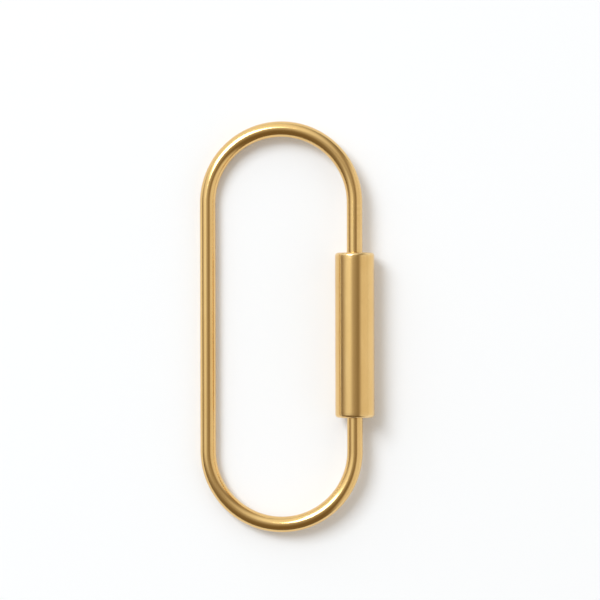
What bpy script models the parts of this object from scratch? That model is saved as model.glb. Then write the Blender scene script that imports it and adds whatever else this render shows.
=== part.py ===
"""Brass keychain: an oval wire loop closed by a threaded sleeve on its right side.

All lengths are in metres, +Z up. The flat loop is laid out in its own frame, with X across, Y along and the
origin at its middle. That frame leans about Y, because the loop rests on its left wire and on the thicker
sleeve. The sleeve's frame has its Z along the sleeve's axis, with zero at the sleeve's lower mouth.
"""
import math

import bmesh
import bpy

# Wire loop
WIRE_DIAMETER = 0.0032
BEND_RADIUS = 0.0150        # centre line of the half-round ends
STRAIGHT_LENGTH = 0.0505    # between the centres of the two ends

# Sleeve
SLEEVE_BORE = 0.0060
SLEEVE_WALL = 0.0010
SLEEVE_LENGTH = 0.0335
SLEEVE_OFFSET = 0.0017      # the sleeve's middle lies this far below the loop's
SLEEVE_CHAMFER = 0.0004
EDGE_BREAK = 0.00015        # on the edges of the sleeve's bore, the bush and the nut
SLEEVE_TRAVEL = 0.0100      # how far the sleeve is pushed up to open the loop

# Guide bush in the upper mouth, lock nut in the lower mouth
BUSH_LENGTH = 0.0040
NUT_LENGTH = 0.0050
NUT_COUNTERBORE = 0.0010    # depth of the plain mouth that takes the full wire

# Thread on the lower wire end and in the lock nut, right-handed
THREAD_PITCH = 0.0005
THREAD_LENGTH = 0.0034
THREAD_RELIEF = 0.00013     # crests stay this far inside the wire's surface
THREAD_GAP = 0.00006        # from the wire's thread out to the nut's
TOOTH_BURY = 0.0001         # how far a tooth reaches into the core that carries it
THREAD_DEPTH_SHARE = 0.54   # of the pitch
CREST_SHARE = 0.125         # width of a tooth at its tip, of the pitch
ROOT_SHARE = 0.75           # width of a tooth at its foot, of the pitch

# Swivel collar on the turned-down upper wire end
SPIGOT_STEP = 0.0004        # height of the shoulder between wire and spigot
FINE_CHAMFER = 0.0001       # on the spigot, the collar's bore and the screw's tip
COLLAR_LENGTH = 0.0040
COLLAR_WALL = 0.00075       # under the ring's groove
COLLAR_CHAMFER = 0.0002
SCREW_DIAMETER = 0.0016
SCREW_LENGTH = 0.0034       # under the head
SCREW_HEAD_OVERHANG = 0.0008
SCREW_HEAD_HEIGHT = 0.0010
SCREW_HEAD_CHAMFER = 0.0002
SCREW_SLOT_WIDTH = 0.0004
SCREW_SLOT_DEPTH = 0.0005

# Clearances
PRESS_GAP = 0.00003         # a fixed piece in its seat
RUNNING_GAP = 0.00006       # a turning piece on its shaft
SLIDING_GAP = 0.00010       # the collar in the sleeve's bore
RING_GAP = 0.00003          # the ring in its groove and bore
FLOAT_GAP = 0.00008         # each end face of the swivel collar
SEAT_GAP = 0.00005          # a shoulder or head on the face that it meets
STOP_GAP = 0.0003           # collar screw to lock nut with the sleeve fully up
TAP_DEPTH_GAP = 0.0002      # tapped hole beyond the screw's tip
OVERRUN = 0.0005            # how far a cut or a joined stub runs past its face

# Facet counts
WIRE_FACETS = 24
BEND_STEPS = 20
SLEEVE_FACETS = 64
PLUG_FACETS = 40
SCREW_FACETS = 24
THREAD_STEPS = 16           # for each turn
THREADED_FACETS = 2 * THREAD_STEPS
THREAD_PHASE = math.tau / THREAD_STEPS / 4    # keeps tooth and core edges apart
RING_STEPS = 32
RING_FACETS = 12

MERGE_DISTANCE = 1e-7
SHARP_ANGLE = math.radians(30)

# Sizes that follow from the ones above
WIRE_RADIUS = WIRE_DIAMETER / 2
BORE_RADIUS = SLEEVE_BORE / 2
SLEEVE_RADIUS = BORE_RADIUS + SLEEVE_WALL
PLUG_RADIUS = BORE_RADIUS - PRESS_GAP
GUIDE_RADIUS = WIRE_RADIUS + RUNNING_GAP
SPIGOT_RADIUS = WIRE_RADIUS - SPIGOT_STEP
SCREW_RADIUS = SCREW_DIAMETER / 2

BEND_Y = STRAIGHT_LENGTH / 2
LOWER_MOUTH_Y = -SLEEVE_OFFSET - SLEEVE_LENGTH / 2
REST_LEAN = math.asin((SLEEVE_RADIUS - WIRE_RADIUS) / (2 * BEND_RADIUS))

THREAD_CREST_RADIUS = WIRE_RADIUS - THREAD_RELIEF
THREAD_ROOT_RADIUS = THREAD_CREST_RADIUS - THREAD_DEPTH_SHARE * THREAD_PITCH
COLLAR_BORE_RADIUS = SPIGOT_RADIUS + RUNNING_GAP
GROOVE_FLOOR_RADIUS = COLLAR_BORE_RADIUS + COLLAR_WALL
RING_RADIUS = (BORE_RADIUS - GROOVE_FLOOR_RADIUS) / 2 - RING_GAP

# Heights in the sleeve's frame
LOWER_WIRE_END = NUT_COUNTERBORE - SEAT_GAP
THREAD_TIP = LOWER_WIRE_END + THREAD_LENGTH
SCREW_HEAD_BOTTOM = NUT_LENGTH + SLEEVE_TRAVEL + STOP_GAP
SCREW_HEAD_TOP = SCREW_HEAD_BOTTOM + SCREW_HEAD_HEIGHT
SPIGOT_END = SCREW_HEAD_TOP + SEAT_GAP
COLLAR_BOTTOM = SCREW_HEAD_TOP + FLOAT_GAP
COLLAR_TOP = COLLAR_BOTTOM + COLLAR_LENGTH
COLLAR_MIDDLE = (COLLAR_BOTTOM + COLLAR_TOP) / 2
UPPER_WIRE_END = COLLAR_TOP + FLOAT_GAP


def clear_scene():
    for obj in list(bpy.data.objects):
        bpy.data.objects.remove(obj, do_unlink=True)


def new_collection(name):
    collection = bpy.data.collections.new(name)
    bpy.context.scene.collection.children.link(collection)
    return collection


def new_frame(name, collection, parent=None):
    """An empty that carries other objects."""
    frame = bpy.data.objects.new(name, None)
    frame.empty_display_size = BEND_RADIUS
    frame.parent = parent
    collection.objects.link(frame)
    return frame


def new_object(name, mesh, collection, parent):
    obj = bpy.data.objects.new(name, mesh)
    obj.parent = parent
    collection.objects.link(obj)
    return obj


def cylinder(name, radius, bottom, top, facets, collection, parent):
    """A plain cylinder about Z between two heights."""
    bm = bmesh.new()
    bmesh.ops.create_cone(
        bm, cap_ends=True, segments=facets, radius1=radius, radius2=radius, depth=top - bottom
    )
    bmesh.ops.translate(bm, vec=(0, 0, (bottom + top) / 2), verts=bm.verts)
    mesh = bpy.data.meshes.new(name)
    bm.to_mesh(mesh)
    bm.free()
    return new_object(name, mesh, collection, parent)


def turned(name, profile, facets, collection, parent, closed=True):
    """Turn (radius, height) points about Z: down the outer side first, then up the inner side."""
    edges = [(i, i + 1) for i in range(len(profile) - 1)]
    if closed:
        edges.append((len(profile) - 1, 0))
    mesh = bpy.data.meshes.new(name)
    mesh.from_pydata([(radius, 0, height) for radius, height in profile], edges, [])
    obj = new_object(name, mesh, collection, parent)
    screw = obj.modifiers.new("turn", "SCREW")
    screw.steps = facets
    screw.render_steps = facets
    screw.use_merge_vertices = True
    screw.merge_threshold = MERGE_DISTANCE
    return obj


def tube_profile(outer, inner, bottom, top, outer_chamfer, inner_chamfer):
    """A plain ring section with both pairs of edges broken."""
    return [
        (outer - outer_chamfer, top),
        (outer, top - outer_chamfer),
        (outer, bottom + outer_chamfer),
        (outer - outer_chamfer, bottom),
        (inner + inner_chamfer, bottom),
        (inner, bottom + inner_chamfer),
        (inner, top - inner_chamfer),
        (inner + inner_chamfer, top),
    ]


def combine(obj, operation, tool):
    """Cut or join with a tool object, which isn't a part itself."""
    tool.hide_render = True
    tool.display_type = "WIRE"
    boolean = obj.modifiers.new(operation.lower(), "BOOLEAN")
    boolean.operation = operation
    boolean.object = tool
    boolean.solver = "EXACT"


def weld(mesh):
    """Join the doubled points that a cut or a union can leave where edges meet."""
    bm = bmesh.new()
    bm.from_mesh(mesh)
    bmesh.ops.remove_doubles(bm, verts=bm.verts, dist=MERGE_DISTANCE)
    bm.to_mesh(mesh)
    bm.free()


def finish_part(obj, colour, roughness, metallic=1):
    """Apply the modifiers, shade the piece smooth between sharp edges and give it its own material."""
    graph = bpy.context.evaluated_depsgraph_get()
    mesh = bpy.data.meshes.new_from_object(obj.evaluated_get(graph))
    obj.modifiers.clear()
    obj.data = mesh
    mesh.name = obj.name
    weld(mesh)
    mesh.shade_smooth()
    mesh.set_sharp_from_angle(angle=SHARP_ANGLE)
    material = bpy.data.materials.new(obj.name)
    material.use_nodes = True
    shader = material.node_tree.nodes["Principled BSDF"]
    shader.inputs["Base Color"].default_value = (*colour, 1)
    shader.inputs["Roughness"].default_value = roughness
    shader.inputs["Metallic"].default_value = metallic
    mesh.materials.clear()
    mesh.materials.append(material)


def helical_tooth(name, bottom, top, shift, collection, parent):
    """One right-hand tooth that runs past both heights, moved outwards by shift.

    Every tooth starts whole turns away from LOWER_WIRE_END, so that all of them share one helix.
    """
    turns_below = math.ceil((LOWER_WIRE_END - bottom) / THREAD_PITCH) + 1
    start = LOWER_WIRE_END - turns_below * THREAD_PITCH
    turns = math.ceil((top - start) / THREAD_PITCH) + 1
    foot_radius = THREAD_ROOT_RADIUS + shift
    tip_radius = THREAD_CREST_RADIUS + shift
    foot = ROOT_SHARE * THREAD_PITCH / 2
    tip = CREST_SHARE * THREAD_PITCH / 2
    section = [
        (foot_radius - TOOTH_BURY, -foot),
        (foot_radius, -foot),
        (tip_radius, -tip),
        (tip_radius, tip),
        (foot_radius, foot),
        (foot_radius - TOOTH_BURY, foot),
    ]
    bm = bmesh.new()
    face = bm.faces.new([bm.verts.new((radius, 0, start + height)) for radius, height in section])
    bmesh.ops.spin(
        bm,
        geom=[face, *face.edges, *face.verts],
        cent=(0, 0, 0),
        axis=(0, 0, 1),
        dvec=(0, 0, THREAD_PITCH / THREAD_STEPS),
        angle=math.tau * turns,
        steps=THREAD_STEPS * turns,
        use_duplicate=False,
    )
    bmesh.ops.recalc_face_normals(bm, faces=bm.faces)
    mesh = bpy.data.meshes.new(name)
    bm.to_mesh(mesh)
    bm.free()
    tooth = new_object(name, mesh, collection, parent)
    tooth.rotation_euler = (0, 0, THREAD_PHASE)
    return tooth


def threaded_end(tools, closure_frame):
    """The cut thread on the lower wire end, on a stub that reaches into the full wire."""
    stub_bottom = LOWER_WIRE_END - OVERRUN
    core = cylinder(
        "thread_core",
        THREAD_ROOT_RADIUS,
        stub_bottom - OVERRUN,
        THREAD_TIP + OVERRUN,
        THREADED_FACETS,
        tools,
        closure_frame,
    )
    tooth = helical_tooth("thread_tooth", stub_bottom, THREAD_TIP, 0, tools, closure_frame)
    point_radius = THREAD_ROOT_RADIUS - TOOTH_BURY
    clear_radius = THREAD_CREST_RADIUS + TOOTH_BURY
    envelope = turned(
        "thread_envelope",
        [
            (0, THREAD_TIP),
            (point_radius, THREAD_TIP),
            (clear_radius, THREAD_TIP - (clear_radius - point_radius)),
            (clear_radius, stub_bottom),
            (0, stub_bottom),
        ],
        THREADED_FACETS,
        tools,
        closure_frame,
        closed=False,
    )
    combine(core, "UNION", tooth)
    combine(core, "INTERSECT", envelope)
    return core


def spigot(tools, closure_frame):
    """The turned-down upper wire end, on a stub that reaches into the full wire."""
    return turned(
        "spigot",
        [
            (0, UPPER_WIRE_END + OVERRUN),
            (SPIGOT_RADIUS, UPPER_WIRE_END + OVERRUN),
            (SPIGOT_RADIUS, SPIGOT_END + FINE_CHAMFER),
            (SPIGOT_RADIUS - FINE_CHAMFER, SPIGOT_END),
            (0, SPIGOT_END),
        ],
        PLUG_FACETS,
        tools,
        closure_frame,
        closed=False,
    )


def tapped_hole(tools, closure_frame):
    """The hole for the collar screw, with a drilled point."""
    radius = SCREW_RADIUS + PRESS_GAP
    end = SCREW_HEAD_TOP + SCREW_LENGTH + TAP_DEPTH_GAP
    return turned(
        "tapped_hole",
        [
            (0, end + radius / 2),
            (radius, end),
            (radius, SPIGOT_END - OVERRUN),
            (0, SPIGOT_END - OVERRUN),
        ],
        SCREW_FACETS,
        tools,
        closure_frame,
        closed=False,
    )


def loop_path():
    """Points of the wire's centre line, from its lower end round to its upper end."""
    points = [(BEND_RADIUS, LOWER_MOUTH_Y + LOWER_WIRE_END)]
    for middle_y, start_angle in ((-BEND_Y, 0), (BEND_Y, -math.pi)):
        for step in range(BEND_STEPS + 1):
            angle = start_angle - math.pi * step / BEND_STEPS
            points.append((BEND_RADIUS * math.cos(angle), middle_y + BEND_RADIUS * math.sin(angle)))
    points.append((BEND_RADIUS, LOWER_MOUTH_Y + UPPER_WIRE_END))
    return points


def wire_tube(collection, loop_frame):
    """The bent wire at its full thickness, as a closed mesh."""
    points = loop_path()
    curve = bpy.data.curves.new("wire_path", "CURVE")
    curve.dimensions = "3D"
    curve.twist_mode = "Z_UP"
    curve.bevel_depth = WIRE_RADIUS
    curve.bevel_resolution = WIRE_FACETS // 2 - 2
    curve.use_fill_caps = True
    spline = curve.splines.new("POLY")
    spline.points.add(len(points) - 1)
    for point, (x, y) in zip(spline.points, points):
        point.co = (x, y, 0, 1)
    path = new_object("wire_path", curve, collection, loop_frame)
    bpy.context.view_layer.update()
    graph = bpy.context.evaluated_depsgraph_get()
    mesh = bpy.data.meshes.new_from_object(path.evaluated_get(graph))
    bm = bmesh.new()
    bm.from_mesh(mesh)
    bmesh.ops.remove_doubles(bm, verts=bm.verts, dist=MERGE_DISTANCE)
    bmesh.ops.recalc_face_normals(bm, faces=bm.faces)
    bm.to_mesh(mesh)
    bm.free()
    wire = new_object("wire_loop", mesh, collection, loop_frame)
    wire.matrix_world = path.matrix_world.copy()
    bpy.data.objects.remove(path, do_unlink=True)
    return wire


def make_wire_loop(parts, tools, loop_frame, closure_frame):
    wire = wire_tube(parts, loop_frame)
    combine(wire, "UNION", threaded_end(tools, closure_frame))
    combine(wire, "UNION", spigot(tools, closure_frame))
    combine(wire, "DIFFERENCE", tapped_hole(tools, closure_frame))
    finish_part(wire, (0.80, 0.52, 0.21), 0.12)


def make_barrel_tube(parts, sleeve_frame):
    chamfer = min(SLEEVE_CHAMFER, SLEEVE_WALL / 2)
    bore_chamfer = min(EDGE_BREAK, SLEEVE_WALL / 4)
    profile = tube_profile(SLEEVE_RADIUS, BORE_RADIUS, 0, SLEEVE_LENGTH, chamfer, bore_chamfer)
    sleeve = turned("barrel_tube", profile, SLEEVE_FACETS, parts, sleeve_frame)
    finish_part(sleeve, (0.80, 0.52, 0.21), 0.28)


def make_guide_bush(parts, sleeve_frame):
    bottom = SLEEVE_LENGTH - BUSH_LENGTH
    profile = tube_profile(PLUG_RADIUS, GUIDE_RADIUS, bottom, SLEEVE_LENGTH, EDGE_BREAK, EDGE_BREAK)
    bush = turned("guide_bush", profile, PLUG_FACETS, parts, sleeve_frame)
    finish_part(bush, (0.76, 0.50, 0.20), 0.25)


def make_lock_nut(parts, tools, sleeve_frame):
    minor_radius = THREAD_ROOT_RADIUS + THREAD_GAP
    lead_in = GUIDE_RADIUS - minor_radius
    nut = turned(
        "lock_nut",
        [
            (PLUG_RADIUS - EDGE_BREAK, NUT_LENGTH),
            (PLUG_RADIUS, NUT_LENGTH - EDGE_BREAK),
            (PLUG_RADIUS, EDGE_BREAK),
            (PLUG_RADIUS - EDGE_BREAK, 0),
            (GUIDE_RADIUS + EDGE_BREAK, 0),
            (GUIDE_RADIUS, EDGE_BREAK),
            (GUIDE_RADIUS, NUT_COUNTERBORE),
            (minor_radius, NUT_COUNTERBORE),
            (minor_radius, NUT_LENGTH - lead_in),
            (GUIDE_RADIUS, NUT_LENGTH),
        ],
        THREADED_FACETS,
        parts,
        sleeve_frame,
    )
    tooth = helical_tooth("nut_thread", 0, NUT_LENGTH, THREAD_GAP, tools, sleeve_frame)
    combine(nut, "DIFFERENCE", tooth)
    finish_part(nut, (0.76, 0.50, 0.20), 0.25)


def make_stop_collar(parts, swivel_frame):
    outer = BORE_RADIUS - SLIDING_GAP
    profile = tube_profile(
        outer, COLLAR_BORE_RADIUS, COLLAR_BOTTOM, COLLAR_TOP, COLLAR_CHAMFER, FINE_CHAMFER
    )
    groove_half = RING_RADIUS + RING_GAP
    profile[2:2] = [
        (outer, COLLAR_MIDDLE + groove_half),
        (GROOVE_FLOOR_RADIUS, COLLAR_MIDDLE + groove_half),
        (GROOVE_FLOOR_RADIUS, COLLAR_MIDDLE - groove_half),
        (outer, COLLAR_MIDDLE - groove_half),
    ]
    collar = turned("stop_collar", profile, PLUG_FACETS, parts, swivel_frame)
    finish_part(collar, (0.76, 0.50, 0.20), 0.25)


def make_friction_ring(parts, swivel_frame):
    bpy.ops.mesh.primitive_torus_add(
        major_segments=RING_STEPS,
        minor_segments=RING_FACETS,
        major_radius=BORE_RADIUS - RING_GAP - RING_RADIUS,
        minor_radius=RING_RADIUS,
    )
    ring = bpy.context.object
    for collection in list(ring.users_collection):
        collection.objects.unlink(ring)
    parts.objects.link(ring)
    ring.name = "friction_ring"
    ring.parent = swivel_frame
    ring.location = (0, 0, COLLAR_MIDDLE)
    finish_part(ring, (0.02, 0.02, 0.02), 0.6, metallic=0)


def make_collar_screw(parts, tools, closure_frame):
    head_radius = SCREW_RADIUS + SCREW_HEAD_OVERHANG
    tip = SCREW_HEAD_TOP + SCREW_LENGTH
    screw = turned(
        "collar_screw",
        [
            (0, tip),
            (SCREW_RADIUS - FINE_CHAMFER, tip),
            (SCREW_RADIUS, tip - FINE_CHAMFER),
            (SCREW_RADIUS, SCREW_HEAD_TOP),
            (head_radius, SCREW_HEAD_TOP),
            (head_radius, SCREW_HEAD_BOTTOM + SCREW_HEAD_CHAMFER),
            (head_radius - SCREW_HEAD_CHAMFER, SCREW_HEAD_BOTTOM),
            (0, SCREW_HEAD_BOTTOM),
        ],
        SCREW_FACETS,
        parts,
        closure_frame,
        closed=False,
    )
    bm = bmesh.new()
    bmesh.ops.create_cube(bm, size=1)
    size = (2 * head_radius + OVERRUN, SCREW_SLOT_WIDTH, SCREW_SLOT_DEPTH + OVERRUN)
    bmesh.ops.scale(bm, vec=size, verts=bm.verts)
    mesh = bpy.data.meshes.new("screw_slot")
    bm.to_mesh(mesh)
    bm.free()
    slot = new_object("screw_slot", mesh, tools, closure_frame)
    slot.location = (0, 0, SCREW_HEAD_BOTTOM + (SCREW_SLOT_DEPTH - OVERRUN) / 2)
    combine(screw, "DIFFERENCE", slot)
    finish_part(screw, (0.55, 0.55, 0.56), 0.3)


def main():
    clear_scene()
    parts = new_collection("keychain")
    tools = new_collection("keychain_tools")

    # The loop leans on its left wire and the sleeve. The swivel collar turns about the closure's axis, and
    # the sleeve turns with it and slides along it.
    loop_frame = new_frame("loop_frame", parts)
    loop_frame.location = (-(SLEEVE_RADIUS - WIRE_RADIUS) / 2, 0, (SLEEVE_RADIUS + WIRE_RADIUS) / 2)
    loop_frame.rotation_euler = (0, -REST_LEAN, 0)
    closure_frame = new_frame("closure_frame", parts, loop_frame)
    closure_frame.location = (BEND_RADIUS, LOWER_MOUTH_Y, 0)
    closure_frame.rotation_euler = (-math.pi / 2, 0, 0)
    swivel_frame = new_frame("swivel_frame", parts, closure_frame)
    sleeve_frame = new_frame("sleeve_frame", parts, swivel_frame)
    bpy.context.view_layer.update()

    make_wire_loop(parts, tools, loop_frame, closure_frame)
    make_collar_screw(parts, tools, closure_frame)
    make_stop_collar(parts, swivel_frame)
    make_friction_ring(parts, swivel_frame)
    make_barrel_tube(parts, sleeve_frame)
    make_guide_bush(parts, sleeve_frame)
    make_lock_nut(parts, tools, sleeve_frame)


main()
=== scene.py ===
"""Brass keychain: finer pieces, finishes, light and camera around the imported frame.

All lengths are in metres and +Z is up. Every piece is skinned from rings of points. A ring's points also
carry their place on the straight rod that the metal was drawn or turned from, so that drawing lines and
turning marks follow the metal round the bends.
"""

import math

import bmesh
import bpy
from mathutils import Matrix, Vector


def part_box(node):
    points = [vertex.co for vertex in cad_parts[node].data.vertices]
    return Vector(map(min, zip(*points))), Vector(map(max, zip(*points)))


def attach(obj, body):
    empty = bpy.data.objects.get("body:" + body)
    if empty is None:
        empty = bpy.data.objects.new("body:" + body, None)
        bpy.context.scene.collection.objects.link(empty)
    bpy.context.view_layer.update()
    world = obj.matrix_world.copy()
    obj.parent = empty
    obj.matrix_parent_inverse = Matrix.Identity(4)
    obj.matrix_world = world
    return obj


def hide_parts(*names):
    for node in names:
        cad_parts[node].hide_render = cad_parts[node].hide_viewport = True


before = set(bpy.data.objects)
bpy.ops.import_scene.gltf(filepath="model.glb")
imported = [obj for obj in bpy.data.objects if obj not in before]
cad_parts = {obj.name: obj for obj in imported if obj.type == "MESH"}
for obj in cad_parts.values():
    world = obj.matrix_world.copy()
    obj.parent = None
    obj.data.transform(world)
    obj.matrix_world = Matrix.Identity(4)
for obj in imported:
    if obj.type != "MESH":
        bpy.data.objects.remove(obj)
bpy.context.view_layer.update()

# Sizes that the boxes of the frame don't give
WIRE_RADIUS = 0.0016
BEND_RADIUS = 0.0150
WIRE_END_GAP = 0.00005      # the wire's shoulder short of the nut's counterbore
NUT_COUNTERBORE = 0.0010
GUIDE_GAP = 0.00006
THREAD_PITCH = 0.0005
THREAD_LENGTH = 0.0034
THREAD_CREST_RADIUS = 0.00147
THREAD_DEPTH = 0.00027
THREAD_GAP = 0.00006        # from the wire's thread out to the nut's
THREAD_PHASE = math.tau / 64        # angle of the crest where the thread starts
CREST_SHARE = 0.125         # width of a thread at its tip, of its pitch
FOOT_SHARE = 0.75           # width of a thread at its foot, of its pitch
SPIGOT_RADIUS = 0.0012
FINE_CHAMFER = 0.0001
FLOAT_GAP = 0.00008         # from the swivel collar to its neighbours
COLLAR_BORE_RADIUS = 0.00126
COLLAR_WALL = 0.00075       # under the ring's groove
COLLAR_CHAMFER = 0.0002
RING_GAP = 0.00003          # between the ring and the sides of its groove
SCREW_RADIUS = 0.0008
SCREW_PITCH = 0.00035
SCREW_DEPTH_SHARE = 0.54    # depth of the screw's thread, of its pitch
SCREW_HEAD_HEIGHT = 0.0010
SCREW_HEAD_CHAMFER = 0.0002
SCREW_SLOT_WIDTH = 0.0004
SCREW_SLOT_DEPTH = 0.0005
TAPPED_DEPTH_GAP = 0.0002
TAPPED_GAP = 0.00003
SLEEVE_WALL = 0.0010
SLEEVE_FILLET = 0.00062     # on the outer edges of the sleeve, which are chamfered in the frame
EDGE_BREAK = 0.00015
ROUNDING = 0.00005          # on every turned corner
SUPPORT = 0.00006           # distance from a corner to the ring that keeps its shading tight

# Rings and points
WIRE_SIDES = 64
BEND_STEPS = 96
TURNED_SIDES = 128
SCREW_SIDES = 64
THREAD_STEPS = 14           # rings for each turn of a thread
RING_STEPS = 32             # rings round the section of the rubber ring
ROUNDING_STEPS = 3
FILLET_STEPS = 10
SIDE_PARTS = 3              # a corner takes no more than one part in this many of each side
POINT_PARTS = 50            # a closing ring is the hole's or the screw's radius divided by this
WEAR_FROM = math.radians(3)         # a turn from ring to ring that counts as an edge
WEAR_RANGE = math.radians(6)
SHALLOW_TURN = math.radians(12)     # corners flatter than this stay as they are
SHARP_ANGLE = math.radians(35)

# The photograph
IMAGE_PIXELS = 600
LOOP_MIDDLE_PIXEL = (281.15, 326.75)
LOOP_TURN = math.radians(0.12)      # anticlockwise in the image
FIELD_WIDTH = 0.1222        # what the image is wide, at the loop's height
CAMERA_HEIGHT = 0.55
CAMERA_CLIP = 0.0055


def middle_of(node):
    low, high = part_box(node)
    return (low + high) / 2


# Places from the frame. The sleeve's axis runs along +Y.
sleeve_low, sleeve_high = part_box("barrel_tube")
AXIS = middle_of("barrel_tube")
SLEEVE_RADIUS = (sleeve_high.z - sleeve_low.z) / 2
BORE_RADIUS = SLEEVE_RADIUS - SLEEVE_WALL
LOWER_MOUTH = sleeve_low.y
SLEEVE_LENGTH = sleeve_high.y - sleeve_low.y
BEND_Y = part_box("wire_loop")[1].y - BEND_RADIUS - WIRE_RADIUS
LEAN = math.asin((AXIS.z - WIRE_RADIUS) / (2 * BEND_RADIUS))
ACROSS = Vector((math.cos(LEAN), 0, math.sin(LEAN)))     # from the left wire to the sleeve
ALONG = Vector((0, 1, 0))
DOWNWARD = ACROSS.cross(ALONG) * -1
LOOP_MIDDLE = Vector((AXIS.x, 0, AXIS.z)) - ACROSS * BEND_RADIUS
GUIDE_RADIUS = WIRE_RADIUS + GUIDE_GAP


def height_of(node):
    """Bottom and top of a node, as heights above the sleeve's lower mouth."""
    low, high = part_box(node)
    return low.y - LOWER_MOUTH, high.y - LOWER_MOUTH


# Skinning

class Skin:
    """Rings of points that become one closed mesh."""

    def __init__(self, sides):
        self.sides = sides
        self.rings = []

    def ring(self, centre, across, over, along, radius):
        """A ring round centre, at a place along the rod.

        radius is a number, or a function of the angle.
        """
        points = []
        for side in range(self.sides):
            angle = math.tau * side / self.sides
            reach = radius(angle) if callable(radius) else radius
            x = reach * math.cos(angle)
            y = reach * math.sin(angle)
            points.append((centre + across * x + over * y, (x, y, along)))
        self.rings.append(points)

    def turned(self, height, radius):
        """A ring about the sleeve's axis, at a height above the sleeve's lower mouth."""
        centre = Vector((AXIS.x, LOWER_MOUTH + height, AXIS.z))
        self.ring(centre, ACROSS, DOWNWARD, height, radius)

    def outline(self, points, closed):
        """Rings along a (height, radius) outline, with its corners rounded."""
        for height, radius in rounded(points, closed):
            self.turned(height, radius)

    def wear(self, closed):
        """How much each ring is an edge: 0 where the outline runs straight, 1 where it turns a corner."""
        count = len(self.rings)
        values = []
        for i in range(count):
            here = self.rings[i][0][0]
            before = here - self.rings[i - 1][0][0]
            after = self.rings[(i + 1) % count][0][0] - here
            turn = before.angle(after, 0.0)
            is_end = not closed and i in (0, count - 1)
            values.append(0.0 if is_end else min(max((turn - WEAR_FROM) / WEAR_RANGE, 0.0), 1.0))
        return values

    def faces(self, closed):
        """Quads between neighbouring rings, and a cap on each end of an open row."""
        count = len(self.rings)
        made = []
        for i in range(count if closed else count - 1):
            low = i * self.sides
            high = (i + 1) % count * self.sides
            for j in range(self.sides):
                k = (j + 1) % self.sides
                made.append((low + j, low + k, high + k, high + j))
        if not closed:
            made.append(tuple(reversed(range(self.sides))))
            made.append(tuple(range((count - 1) * self.sides, count * self.sides)))
        return made

    def add_attributes(self, mesh, closed):
        """Each point's place on the rod, and how much it is an edge."""
        places = [value for ring in self.rings for _, place in ring for value in place]
        rod = mesh.attributes.new("rod", "FLOAT_VECTOR", "POINT")
        rod.data.foreach_set("vector", places)
        worn = [value for value in self.wear(closed) for _ in range(self.sides)]
        edge = mesh.attributes.new("edge", "FLOAT", "POINT")
        edge.data.foreach_set("value", worn)

    def build(self, name, material, body, nodes, closed=False):
        mesh = bpy.data.meshes.new(name)
        points = [point for ring in self.rings for point, _ in ring]
        mesh.from_pydata(points, [], self.faces(closed))
        self.add_attributes(mesh, closed)
        bm = bmesh.new()
        bm.from_mesh(mesh)
        bmesh.ops.recalc_face_normals(bm, faces=bm.faces)
        bm.to_mesh(mesh)
        bm.free()
        mesh.shade_smooth()
        mesh.set_sharp_from_angle(angle=SHARP_ANGLE)
        mesh.materials.append(material)
        piece = bpy.data.objects.new(name, mesh)
        bpy.context.scene.collection.objects.link(piece)
        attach(piece, body)
        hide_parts(*nodes)
        return piece


def rounded(profile, closed):
    """Round the corners of a (height, radius) outline with small arcs, with a ring close to each arc."""
    points = [Vector(point) for point in profile]
    made = []
    count = len(points)
    for i, corner in enumerate(points):
        if not closed and i in (0, count - 1):
            made.append(corner)
            continue
        before = points[i - 1] - corner
        after = points[(i + 1) % count] - corner
        turn = math.pi - before.angle(after)
        if turn < SHALLOW_TURN:
            made.append(corner)
            continue
        back = min(ROUNDING * math.tan(turn / 2), before.length / SIDE_PARTS, after.length / SIDE_PARTS)
        start = corner + before.normalized() * back
        end = corner + after.normalized() * back
        if before.length > SIDE_PARTS * (back + SUPPORT):
            made.append(start + before.normalized() * SUPPORT)
        for step in range(ROUNDING_STEPS + 1):
            share = step / ROUNDING_STEPS
            made.append(start * (1 - share) ** 2 + corner * (2 * share * (1 - share)) + end * share ** 2)
        if after.length > SIDE_PARTS * (back + SUPPORT):
            made.append(end + after.normalized() * SUPPORT)
    return made


def turned_piece(name, profile, material, body, nodes):
    """A ring-shaped piece from a closed (height, radius) outline."""
    skin = Skin(TURNED_SIDES)
    skin.outline(profile, closed=True)
    skin.build(name, material, body, nodes, closed=True)


def thread_radius(height, start, pitch, crest, depth, phase):
    """Radius of a right-hand thread as a function of the angle, at one height."""
    crest_half = CREST_SHARE / 2
    flank = (FOOT_SHARE - CREST_SHARE) / 2

    def at(angle):
        turns = (height - start) / pitch - (angle - phase) / math.tau
        from_crest = abs(turns - round(turns))          # 0 at the crest, 0.5 in the root
        fall = min(max((from_crest - crest_half) / flank, 0), 1)
        return crest - depth * fall

    return at


def at_most(radius, limit):
    return lambda angle: min(radius(angle), limit)


def at_least(radius, limit):
    return lambda angle: max(radius(angle), limit)


# Materials

# Noise scales are in cycles a metre: two across the rod, one along it
SMUDGE_SCALE = (260, 260, 110)
SMUDGE_DISTORTION = 0.6
RUB_SCALE = (900, 900, 900)
WAVE_SCALE = (330, 330, 90)
SPECKLE_SCALE = (9000, 9000, 9000)
FINE_DETAIL = 3.0
PLAIN_DETAIL = 2.0
NO_DETAIL = 0.0

# The part of each noise's range that is spread over the whole effect
LINE_SPREAD = (0.3, 0.7)
SMUDGE_SPREAD = (0.35, 0.7)
RUB_SPREAD = (0.35, 0.6)
RUB_LEAST = 0.2             # how much the least rubbed part of an edge is worn
SPECKLE_DEPTH = 0.000004

# What each effect adds to the roughness. The grain and the speckle also take away as much.
GRAIN = 0.02
SMUDGE_POLISH = -0.02
SMUDGE_HAZE = 0.05
BURNISH = -0.05
SPECKLE_ROUGHNESS = 0.1


def node_of(tree, kind, **inputs):
    made = tree.nodes.new(kind)
    for name, value in inputs.items():
        setattr(made, name, value)
    return made


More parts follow.
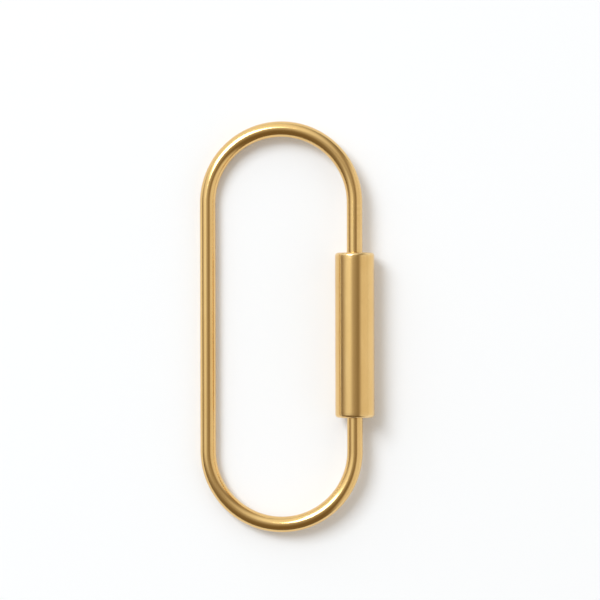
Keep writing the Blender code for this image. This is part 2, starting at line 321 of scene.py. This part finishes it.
def scaled_rod(tree, scale):
    """The place on the rod, stretched by a scale for each axis."""
    attribute = node_of(tree, "ShaderNodeAttribute", attribute_name="rod")
    stretch = node_of(tree, "ShaderNodeVectorMath", operation="MULTIPLY")
    stretch.inputs[1].default_value = scale
    tree.links.new(attribute.outputs["Vector"], stretch.inputs[0])
    return stretch.outputs["Vector"]


def noise(tree, scale, detail=PLAIN_DETAIL, distortion=0.0):
    made = node_of(tree, "ShaderNodeTexNoise", noise_dimensions="3D")
    made.inputs["Scale"].default_value = 1.0
    made.inputs["Detail"].default_value = detail
    made.inputs["Distortion"].default_value = distortion
    tree.links.new(scaled_rod(tree, scale), made.inputs["Vector"])
    return made.outputs["Fac"]


def ranged(tree, value, from_low, from_high, to_low, to_high):
    made = node_of(tree, "ShaderNodeMapRange")
    for name, number in (
        ("From Min", from_low), ("From Max", from_high), ("To Min", to_low), ("To Max", to_high)
    ):
        made.inputs[name].default_value = number
    tree.links.new(value, made.inputs["Value"])
    return made.outputs["Result"]


def combined(tree, operation, first, second):
    """The sum or the product of two values."""
    made = node_of(tree, "ShaderNodeMath", operation=operation)
    tree.links.new(first, made.inputs[0])
    tree.links.new(second, made.inputs[1])
    return made.outputs["Value"]


def mixed(tree, share, first, second):
    """A mix of two colours. The first may be the result of another mix."""
    made = node_of(tree, "ShaderNodeMix", data_type="RGBA")
    if isinstance(first, bpy.types.NodeSocket):
        tree.links.new(first, made.inputs["A"])
    else:
        made.inputs["A"].default_value = (*first, 1)
    made.inputs["B"].default_value = (*second, 1)
    tree.links.new(share, made.inputs["Factor"])
    return made.outputs["Result"]


def bumped(tree, height, distance, normal=None):
    made = node_of(tree, "ShaderNodeBump")
    made.inputs["Distance"].default_value = distance
    made.inputs["Strength"].default_value = 1.0
    tree.links.new(height, made.inputs["Height"])
    if normal:
        tree.links.new(normal, made.inputs["Normal"])
    return made.outputs["Normal"]


def new_material(name):
    material = bpy.data.materials.new(name)
    material.use_nodes = True
    return material, material.node_tree, material.node_tree.nodes["Principled BSDF"]


def metal(name, light, deep, worn, roughness, line_scale, line_depth, wave_depth):
    """Drawn or turned metal with a slow drift of tone, stretched lines, and bright, burnished edges."""
    material, tree, shader = new_material(name)
    shader.inputs["Metallic"].default_value = 1.0
    lines = noise(tree, line_scale, FINE_DETAIL)
    smudge = noise(tree, SMUDGE_SCALE, FINE_DETAIL, SMUDGE_DISTORTION)
    edge = node_of(tree, "ShaderNodeAttribute", attribute_name="edge").outputs["Fac"]
    patches = ranged(tree, noise(tree, RUB_SCALE), *RUB_SPREAD, RUB_LEAST, 1.0)
    rubbed = combined(tree, "MULTIPLY", edge, patches)

    tone = ranged(tree, smudge, *SMUDGE_SPREAD, 0.0, 1.0)
    colour = mixed(tree, rubbed, mixed(tree, tone, light, deep), worn)
    tree.links.new(colour, shader.inputs["Base Color"])

    grain = ranged(tree, lines, *LINE_SPREAD, -GRAIN, GRAIN)
    haze = ranged(tree, smudge, *SMUDGE_SPREAD, roughness + SMUDGE_POLISH, roughness + SMUDGE_HAZE)
    burnish = ranged(tree, rubbed, 0.0, 1.0, 0.0, BURNISH)
    total = combined(tree, "ADD", combined(tree, "ADD", grain, haze), burnish)
    tree.links.new(total, shader.inputs["Roughness"])

    wave = noise(tree, WAVE_SCALE, NO_DETAIL)
    normal = bumped(tree, lines, line_depth, bumped(tree, wave, wave_depth))
    tree.links.new(normal, shader.inputs["Normal"])
    return material


def rubber(name, colour, roughness):
    material, tree, shader = new_material(name)
    speckle = noise(tree, SPECKLE_SCALE)
    lighter = [2 * part for part in colour]
    tree.links.new(mixed(tree, speckle, colour, lighter), shader.inputs["Base Color"])
    smooth = roughness - SPECKLE_ROUGHNESS
    rough = roughness + SPECKLE_ROUGHNESS
    tree.links.new(ranged(tree, speckle, *LINE_SPREAD, smooth, rough), shader.inputs["Roughness"])
    tree.links.new(bumped(tree, speckle, SPECKLE_DEPTH), shader.inputs["Normal"])
    return material


# Pieces

def lower_thread(skin, shoulder):
    """Rings from the thread's tip back to the wire's shoulder."""
    tip = shoulder + THREAD_LENGTH
    tip_radius = THREAD_CREST_RADIUS - THREAD_DEPTH - FINE_CHAMFER
    count = round(THREAD_LENGTH / THREAD_PITCH * THREAD_STEPS)
    skin.turned(tip, tip_radius)
    for step in range(count + 1):
        height = tip - THREAD_LENGTH * step / count
        radius = thread_radius(
            height, shoulder, THREAD_PITCH, THREAD_CREST_RADIUS, THREAD_DEPTH, THREAD_PHASE
        )
        skin.turned(height, at_most(radius, tip_radius + tip - height))
    skin.turned(shoulder, THREAD_CREST_RADIUS)


def bends(skin):
    """Rings round both half-round ends, from the lower wire end to the upper one."""
    travelled = 0.0
    centre_low = LOOP_MIDDLE - ALONG * BEND_Y
    centre_high = LOOP_MIDDLE + ALONG * BEND_Y
    for centre, start in ((centre_low, 0.0), (centre_high, -math.pi)):
        for step in range(BEND_STEPS + 1):
            angle = start - math.pi * step / BEND_STEPS
            outward = ACROSS * math.cos(angle) + ALONG * math.sin(angle)
            place = centre + outward * BEND_RADIUS
            along = -(LOWER_MOUTH + BEND_Y) - travelled - BEND_RADIUS * math.pi * step / BEND_STEPS
            skin.ring(place, outward, DOWNWARD, along, WIRE_RADIUS)
        travelled += BEND_RADIUS * math.pi + 2 * BEND_Y


def upper_spigot(skin, shoulder):
    """Rings from the wire's upper shoulder down to the spigot's end and up into the tapped hole."""
    screw_low, screw_high = height_of("collar_screw")
    end = screw_low + SCREW_HEAD_HEIGHT + WIRE_END_GAP
    hole = SCREW_RADIUS + TAPPED_GAP
    floor = screw_high + TAPPED_DEPTH_GAP
    outline = [
        (shoulder, WIRE_RADIUS - FINE_CHAMFER / 2),
        (shoulder, SPIGOT_RADIUS),
        (end + FINE_CHAMFER, SPIGOT_RADIUS),
        (end, SPIGOT_RADIUS - FINE_CHAMFER),
        (end, hole),
        (floor, hole),
        (floor + hole / 2, hole / POINT_PARTS),
    ]
    skin.outline(outline, closed=False)


def make_wire(material):
    shoulder_low = NUT_COUNTERBORE - WIRE_END_GAP
    shoulder_high = height_of("stop_collar")[1] + FLOAT_GAP
    break_edge = FINE_CHAMFER / 2
    skin = Skin(WIRE_SIDES)
    lower_thread(skin, shoulder_low)
    skin.turned(shoulder_low, WIRE_RADIUS - break_edge)
    skin.turned(shoulder_low - break_edge, WIRE_RADIUS)
    skin.turned(shoulder_low - break_edge - SUPPORT, WIRE_RADIUS)
    bends(skin)
    skin.turned(shoulder_high + break_edge + SUPPORT, WIRE_RADIUS)
    skin.turned(shoulder_high + break_edge, WIRE_RADIUS)
    upper_spigot(skin, shoulder_high)
    skin.build("wire", material, "loop", ["wire_loop"])


def quarter(centre, radius, first):
    """Points of a quarter circle in a (height, radius) outline, from the angle first on."""
    points = []
    for step in range(FILLET_STEPS + 1):
        angle = first + math.pi / 2 * step / FILLET_STEPS
        points.append((centre[0] + radius * math.cos(angle), centre[1] + radius * math.sin(angle)))
    return points


def make_sleeve(material):
    core = SLEEVE_RADIUS - SLEEVE_FILLET
    outline = quarter((SLEEVE_LENGTH - SLEEVE_FILLET, core), SLEEVE_FILLET, 0)
    outline += [(SLEEVE_LENGTH - 2 * SLEEVE_FILLET, SLEEVE_RADIUS), (2 * SLEEVE_FILLET, SLEEVE_RADIUS)]
    outline += quarter((SLEEVE_FILLET, core), SLEEVE_FILLET, math.pi / 2)
    outline += [
        (0, BORE_RADIUS + EDGE_BREAK),
        (EDGE_BREAK, BORE_RADIUS),
        (SLEEVE_LENGTH - EDGE_BREAK, BORE_RADIUS),
        (SLEEVE_LENGTH, BORE_RADIUS + EDGE_BREAK),
    ]
    turned_piece("sleeve_tube", outline, material, "sleeve", ["barrel_tube"])


def make_bush(material):
    bottom, top = height_of("guide_bush")
    low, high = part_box("guide_bush")
    outer = (high.z - low.z) / 2
    outline = [
        (top, outer - EDGE_BREAK),
        (top - EDGE_BREAK, outer),
        (bottom + EDGE_BREAK, outer),
        (bottom, outer - EDGE_BREAK),
        (bottom, GUIDE_RADIUS + EDGE_BREAK),
        (bottom + EDGE_BREAK, GUIDE_RADIUS),
        (top - EDGE_BREAK, GUIDE_RADIUS),
        (top, GUIDE_RADIUS + EDGE_BREAK),
    ]
    turned_piece("bush", outline, material, "sleeve", ["guide_bush"])


def nut_thread(skin, bottom, top, minor):
    """Rings up the nut's thread, which opens out at the top to let the wire's thread in."""
    start = NUT_COUNTERBORE - WIRE_END_GAP
    length = top - bottom - NUT_COUNTERBORE
    count = round(length / THREAD_PITCH * THREAD_STEPS)
    for step in range(count + 1):
        height = bottom + NUT_COUNTERBORE + length * step / count
        radius = thread_radius(
            height, start, THREAD_PITCH, minor + THREAD_DEPTH, THREAD_DEPTH, THREAD_PHASE
        )
        skin.turned(height, at_least(radius, GUIDE_RADIUS - (top - height)))


def make_nut(material):
    bottom, top = height_of("lock_nut")
    low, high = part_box("lock_nut")
    outer = (high.z - low.z) / 2
    minor = THREAD_CREST_RADIUS - THREAD_DEPTH + THREAD_GAP
    outside = [
        (top, GUIDE_RADIUS + EDGE_BREAK),
        (top, outer - EDGE_BREAK),
        (top - EDGE_BREAK, outer),
        (bottom + EDGE_BREAK, outer),
        (bottom, outer - EDGE_BREAK),
        (bottom, GUIDE_RADIUS + EDGE_BREAK),
        (bottom + EDGE_BREAK, GUIDE_RADIUS),
        (bottom + NUT_COUNTERBORE, GUIDE_RADIUS),
        (bottom + NUT_COUNTERBORE, minor + THREAD_DEPTH),
    ]
    skin = Skin(TURNED_SIDES)
    skin.outline(outside, closed=False)
    nut_thread(skin, bottom, top, minor)
    skin.build("nut", material, "sleeve", ["lock_nut"], closed=True)


def make_collar(material):
    bottom, top = height_of("stop_collar")
    low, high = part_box("stop_collar")
    outer = (high.z - low.z) / 2
    ring_low, ring_high = height_of("friction_ring")
    floor = COLLAR_BORE_RADIUS + COLLAR_WALL
    outline = [
        (top, outer - COLLAR_CHAMFER),
        (top - COLLAR_CHAMFER, outer),
        (ring_high + RING_GAP, outer),
        (ring_high + RING_GAP, floor),
        (ring_low - RING_GAP, floor),
        (ring_low - RING_GAP, outer),
        (bottom + COLLAR_CHAMFER, outer),
        (bottom, outer - COLLAR_CHAMFER),
        (bottom, COLLAR_BORE_RADIUS + FINE_CHAMFER),
        (bottom + FINE_CHAMFER, COLLAR_BORE_RADIUS),
        (top - FINE_CHAMFER, COLLAR_BORE_RADIUS),
        (top, COLLAR_BORE_RADIUS + FINE_CHAMFER),
    ]
    turned_piece("collar", outline, material, "swivel", ["stop_collar"])


def make_ring(material):
    bottom, top = height_of("friction_ring")
    low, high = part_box("friction_ring")
    section_radius = (top - bottom) / 2
    ring_radius = (high.z - low.z) / 2 - section_radius
    skin = Skin(TURNED_SIDES)
    for step in range(RING_STEPS):
        angle = math.tau * step / RING_STEPS
        height = (bottom + top) / 2 + section_radius * math.sin(angle)
        skin.turned(height, ring_radius + section_radius * math.cos(angle))
    skin.build("rubber_ring", material, "swivel", ["friction_ring"], closed=True)


def cut_slot(screw, bottom, head):
    """Cut the slot across the screw's head. The cutter is longer than the slot and half outside the head."""
    length = 4 * head
    mesh = bpy.data.meshes.new("screw_slot")
    bm = bmesh.new()
    bmesh.ops.create_cube(bm, size=1)
    bmesh.ops.scale(bm, vec=(length, 2 * SCREW_SLOT_DEPTH, SCREW_SLOT_WIDTH), verts=bm.verts)
    bm.to_mesh(mesh)
    bm.free()
    cutter = bpy.data.objects.new("screw_slot", mesh)
    bpy.context.scene.collection.objects.link(cutter)
    cutter.location = (AXIS.x, LOWER_MOUTH + bottom, AXIS.z)
    cut = screw.modifiers.new("slot", "BOOLEAN")
    cut.operation = "DIFFERENCE"
    cut.solver = "EXACT"
    cut.object = cutter
    bpy.context.view_layer.update()
    graph = bpy.context.evaluated_depsgraph_get()
    slotted = bpy.data.meshes.new_from_object(screw.evaluated_get(graph))
    screw.modifiers.clear()
    screw.data = slotted
    bpy.data.objects.remove(cutter, do_unlink=True)


def make_screw(material):
    bottom, top = height_of("collar_screw")
    low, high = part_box("collar_screw")
    head = (high.z - low.z) / 2
    seat = bottom + SCREW_HEAD_HEIGHT
    start = seat + SCREW_PITCH
    outside = [
        (bottom, SCREW_RADIUS / POINT_PARTS),
        (bottom, head - SCREW_HEAD_CHAMFER),
        (bottom + SCREW_HEAD_CHAMFER, head),
        (seat, head),
        (seat, SCREW_RADIUS),
        (start, SCREW_RADIUS),
    ]
    skin = Skin(SCREW_SIDES)
    skin.outline(outside, closed=False)
    depth = SCREW_DEPTH_SHARE * SCREW_PITCH
    count = round((top - start) / SCREW_PITCH * THREAD_STEPS)
    for step in range(count + 1):
        height = start + (top - start) * step / count
        radius = thread_radius(height, start, SCREW_PITCH, SCREW_RADIUS, depth, 0)
        skin.turned(height, at_most(radius, SCREW_RADIUS - depth + top - height))
    screw = skin.build("screw", material, "loop", ["collar_screw"])
    cut_slot(screw, bottom, head)


# Floor, light and camera

FLOOR_REACH = 4
PAPER_COLOUR = (0.965, 0.97, 0.98)
PAPER_ROUGHNESS = 0.9
PAPER_LIFT = 0.09           # share of plain white that the camera and the metal see in the paper


def make_floor():
    """A sheet of pale paper, mixed with a little plain white for what the camera and the metal see."""
    bm = bmesh.new()
    bmesh.ops.create_grid(bm, x_segments=1, y_segments=1, size=FLOOR_REACH)
    mesh = bpy.data.meshes.new("floor")
    bm.to_mesh(mesh)
    bm.free()
    floor = bpy.data.objects.new("floor", mesh)
    bpy.context.scene.collection.objects.link(floor)
    material, tree, shader = new_material("paper")
    shader.inputs["Base Color"].default_value = (*PAPER_COLOUR, 1)
    shader.inputs["Roughness"].default_value = PAPER_ROUGHNESS
    shader.inputs["Specular IOR Level"].default_value = 0.0
    white = node_of(tree, "ShaderNodeEmission")
    path = node_of(tree, "ShaderNodeLightPath")
    seen = combined(tree, "ADD", path.outputs["Is Camera Ray"], path.outputs["Is Glossy Ray"])
    seen = combined(tree, "ADD", seen, path.outputs["Is Transmission Ray"])
    share = ranged(tree, seen, 0.0, 1.0, 0.0, PAPER_LIFT)
    blend = node_of(tree, "ShaderNodeMixShader")
    tree.links.new(share, blend.inputs["Fac"])
    tree.links.new(shader.outputs["BSDF"], blend.inputs[1])
    tree.links.new(white.outputs["Emission"], blend.inputs[2])
    tree.links.new(blend.outputs["Shader"], tree.nodes["Material Output"].inputs["Surface"])
    mesh.materials.append(material)


LAMP_DISTANCE = 3.5
KEY_AZIMUTH = 136.5
KEY_TILT = 39.0
KEY_HALF_WIDTH = 11.0
KEY_HALF_HEIGHT = 14.0
KEY_RADIANCE = 10.7
KEY_COLOUR = (0.86, 0.93, 1.0)
FLATTEN = 1000.0            # makes a wall's own depth count for nothing

# How bright the room is by the height of a direction, from the horizon to straight up
ROOM_LEVELS = (
    (0.0, (0.26, 0.24, 0.21)),
    (0.12, (0.16, 0.135, 0.10)),
    (0.3, (0.22, 0.17, 0.105)),
    (0.72, (0.19, 0.136, 0.066)),
    (0.93, (0.23, 0.172, 0.09)),
    (1.0, (0.28, 0.225, 0.145)),
)

# Azimuth, tilt, half width and half height in degrees, softness, and the colour that is added to the room's.
# They are the window, the two lighter walls, the white card and the dark corner.
ROOM_WALLS = (
    (125.0, 61.0, 46.0, 44.5, 0.50, (0.89, 0.96, 1.05)),
    (180.6, 39.0, 10.0, 19.5, 0.50, (0.36, 0.40, 0.44)),
    (77.0, 33.0, 14.0, 22.0, 0.30, (0.20, 0.215, 0.23)),
    (-8.3, 79.8, 43.4, 49.3, 0.17, (0.68, 0.71, 0.74)),
    (176.0, 84.0, 28.0, 13.0, 0.50, (-0.14, -0.16, -0.17)),
)


def facing(azimuth, tilt):
    """A direction as seen from the object, from +X towards +Y and from straight up, in degrees."""
    around = math.radians(azimuth)
    down = math.radians(tilt)
    return Vector((
        math.cos(around) * math.sin(down), math.sin(around) * math.sin(down), math.cos(down)
    ))


def make_key_lamp():
    """A soft box. Its half sizes are angles as seen from the object, in degrees."""
    direction = facing(KEY_AZIMUTH, KEY_TILT)
    lamp = bpy.data.lights.new("key", "AREA")
    lamp.shape = "RECTANGLE"
    lamp.size = 2 * LAMP_DISTANCE * math.tan(math.radians(KEY_HALF_WIDTH))
    lamp.size_y = 2 * LAMP_DISTANCE * math.tan(math.radians(KEY_HALF_HEIGHT))
    lamp.energy = KEY_RADIANCE * math.pi * lamp.size * lamp.size_y
    lamp.color = KEY_COLOUR
    holder = bpy.data.objects.new("key", lamp)
    bpy.context.scene.collection.objects.link(holder)
    holder.location = direction * LAMP_DISTANCE
    holder.rotation_euler = (-direction).to_track_quat("-Z", "Y").to_euler()


def soft_wall(tree, outlook, azimuth, tilt, half_around, half_up, softness, colour):
    """A part of the room with a soft edge. Softness is the share of its size over which it fades."""
    direction = facing(azimuth, tilt)
    place = node_of(tree, "ShaderNodeMapping", vector_type="TEXTURE")
    place.inputs["Rotation"].default_value = direction.to_track_quat("Z", "Y").to_euler()
    place.inputs["Scale"].default_value = (
        math.sin(math.radians(half_around)), math.sin(math.radians(half_up)), FLATTEN
    )
    reach = node_of(tree, "ShaderNodeVectorMath", operation="LENGTH")
    fade = node_of(tree, "ShaderNodeMapRange", interpolation_type="SMOOTHSTEP")
    fade.inputs["From Min"].default_value = 1 - softness
    fade.inputs["From Max"].default_value = 1 + softness
    fade.inputs["To Min"].default_value = 1
    fade.inputs["To Max"].default_value = 0
    ahead = node_of(tree, "ShaderNodeVectorMath", operation="DOT_PRODUCT")
    ahead.inputs[1].default_value = direction
    near_side = node_of(tree, "ShaderNodeMath", operation="GREATER_THAN")
    near_side.inputs[1].default_value = 0
    tinted = node_of(tree, "ShaderNodeVectorMath", operation="SCALE")
    tinted.inputs[0].default_value = colour
    tree.links.new(outlook, place.inputs["Vector"])
    tree.links.new(place.outputs["Vector"], reach.inputs[0])
    tree.links.new(reach.outputs["Value"], fade.inputs["Value"])
    tree.links.new(outlook, ahead.inputs[0])
    tree.links.new(ahead.outputs["Value"], near_side.inputs[0])
    share = combined(tree, "MULTIPLY", fade.outputs["Result"], near_side.outputs["Value"])
    tree.links.new(share, tinted.inputs["Scale"])
    return tinted.outputs["Vector"]


def make_world():
    """A dim room with a wide window, two lighter walls beside it, a white card across and a dark corner."""
    world = bpy.data.worlds.new("room")
    world.use_nodes = True
    bpy.context.scene.world = world
    tree = world.node_tree
    outlook = node_of(tree, "ShaderNodeTexCoord").outputs["Generated"]
    split = node_of(tree, "ShaderNodeSeparateXYZ")
    tree.links.new(outlook, split.inputs["Vector"])
    ramp = node_of(tree, "ShaderNodeValToRGB")
    ramp.color_ramp.elements[0].position = ROOM_LEVELS[0][0]
    ramp.color_ramp.elements[1].position = ROOM_LEVELS[-1][0]
    for height, _ in ROOM_LEVELS[1:-1]:
        ramp.color_ramp.elements.new(height)
    for element, (_, colour) in zip(ramp.color_ramp.elements, ROOM_LEVELS):
        element.color = (*colour, 1)
    tree.links.new(split.outputs["Z"], ramp.inputs["Fac"])
    total = ramp.outputs["Color"]
    for wall in ROOM_WALLS:
        joined = node_of(tree, "ShaderNodeVectorMath", operation="ADD")
        tree.links.new(total, joined.inputs[0])
        tree.links.new(soft_wall(tree, outlook, *wall), joined.inputs[1])
        total = joined.outputs["Vector"]
    tree.links.new(total, tree.nodes["Background"].inputs["Color"])


def make_camera():
    camera = bpy.data.cameras.new("camera")
    holder = bpy.data.objects.new("camera", camera)
    bpy.context.scene.collection.objects.link(holder)
    pixel = FIELD_WIDTH / IMAGE_PIXELS
    aim_x = LOOP_MIDDLE.x + (IMAGE_PIXELS / 2 - LOOP_MIDDLE_PIXEL[0]) * pixel
    aim_y = LOOP_MIDDLE.y - (IMAGE_PIXELS / 2 - LOOP_MIDDLE_PIXEL[1]) * pixel
    holder.location = (aim_x, aim_y, LOOP_MIDDLE.z + CAMERA_HEIGHT)
    holder.rotation_euler = (0, 0, -LOOP_TURN)
    camera.lens = camera.sensor_width * CAMERA_HEIGHT / FIELD_WIDTH
    camera.clip_start = CAMERA_CLIP
    bpy.context.scene.camera = holder


BRASS_LIGHT = (0.82, 0.55, 0.225)
BRASS_DEEP = (0.78, 0.51, 0.195)
BRASS_WORN = (0.86, 0.62, 0.30)
TURNED_LIGHT = (0.78, 0.51, 0.21)
TURNED_DEEP = (0.72, 0.46, 0.18)
STEEL_LIGHT = (0.58, 0.58, 0.59)
STEEL_DEEP = (0.5, 0.5, 0.51)
STEEL_WORN = (0.66, 0.66, 0.67)
RUBBER_BLACK = (0.02, 0.02, 0.02)

wire_brass = metal(
    "polished_brass", BRASS_LIGHT, BRASS_DEEP, BRASS_WORN, roughness=0.15,
    line_scale=(90, 90, 9000), line_depth=0.00000004, wave_depth=0.000006,
)
sleeve_brass = metal(
    "satin_brass", BRASS_LIGHT, BRASS_DEEP, BRASS_WORN, roughness=0.19,
    line_scale=(60, 60, 14000), line_depth=0.0000001, wave_depth=0.000003,
)
turned_brass = metal(
    "turned_brass", TURNED_LIGHT, TURNED_DEEP, BRASS_WORN, roughness=0.26,
    line_scale=(80, 80, 16000), line_depth=0.000001, wave_depth=0.000002,
)
steel = metal(
    "steel", STEEL_LIGHT, STEEL_DEEP, STEEL_WORN, roughness=0.28,
    line_scale=(80, 80, 16000), line_depth=0.000001, wave_depth=0.000002,
)
black_rubber = rubber("black_rubber", RUBBER_BLACK, roughness=0.6)

make_wire(wire_brass)
make_sleeve(sleeve_brass)
make_bush(turned_brass)
make_nut(turned_brass)
make_collar(turned_brass)
make_ring(black_rubber)
make_screw(steel)
make_floor()
make_world()
make_key_lamp()
make_camera()

bpy.context.scene.view_settings.view_transform = "Standard"
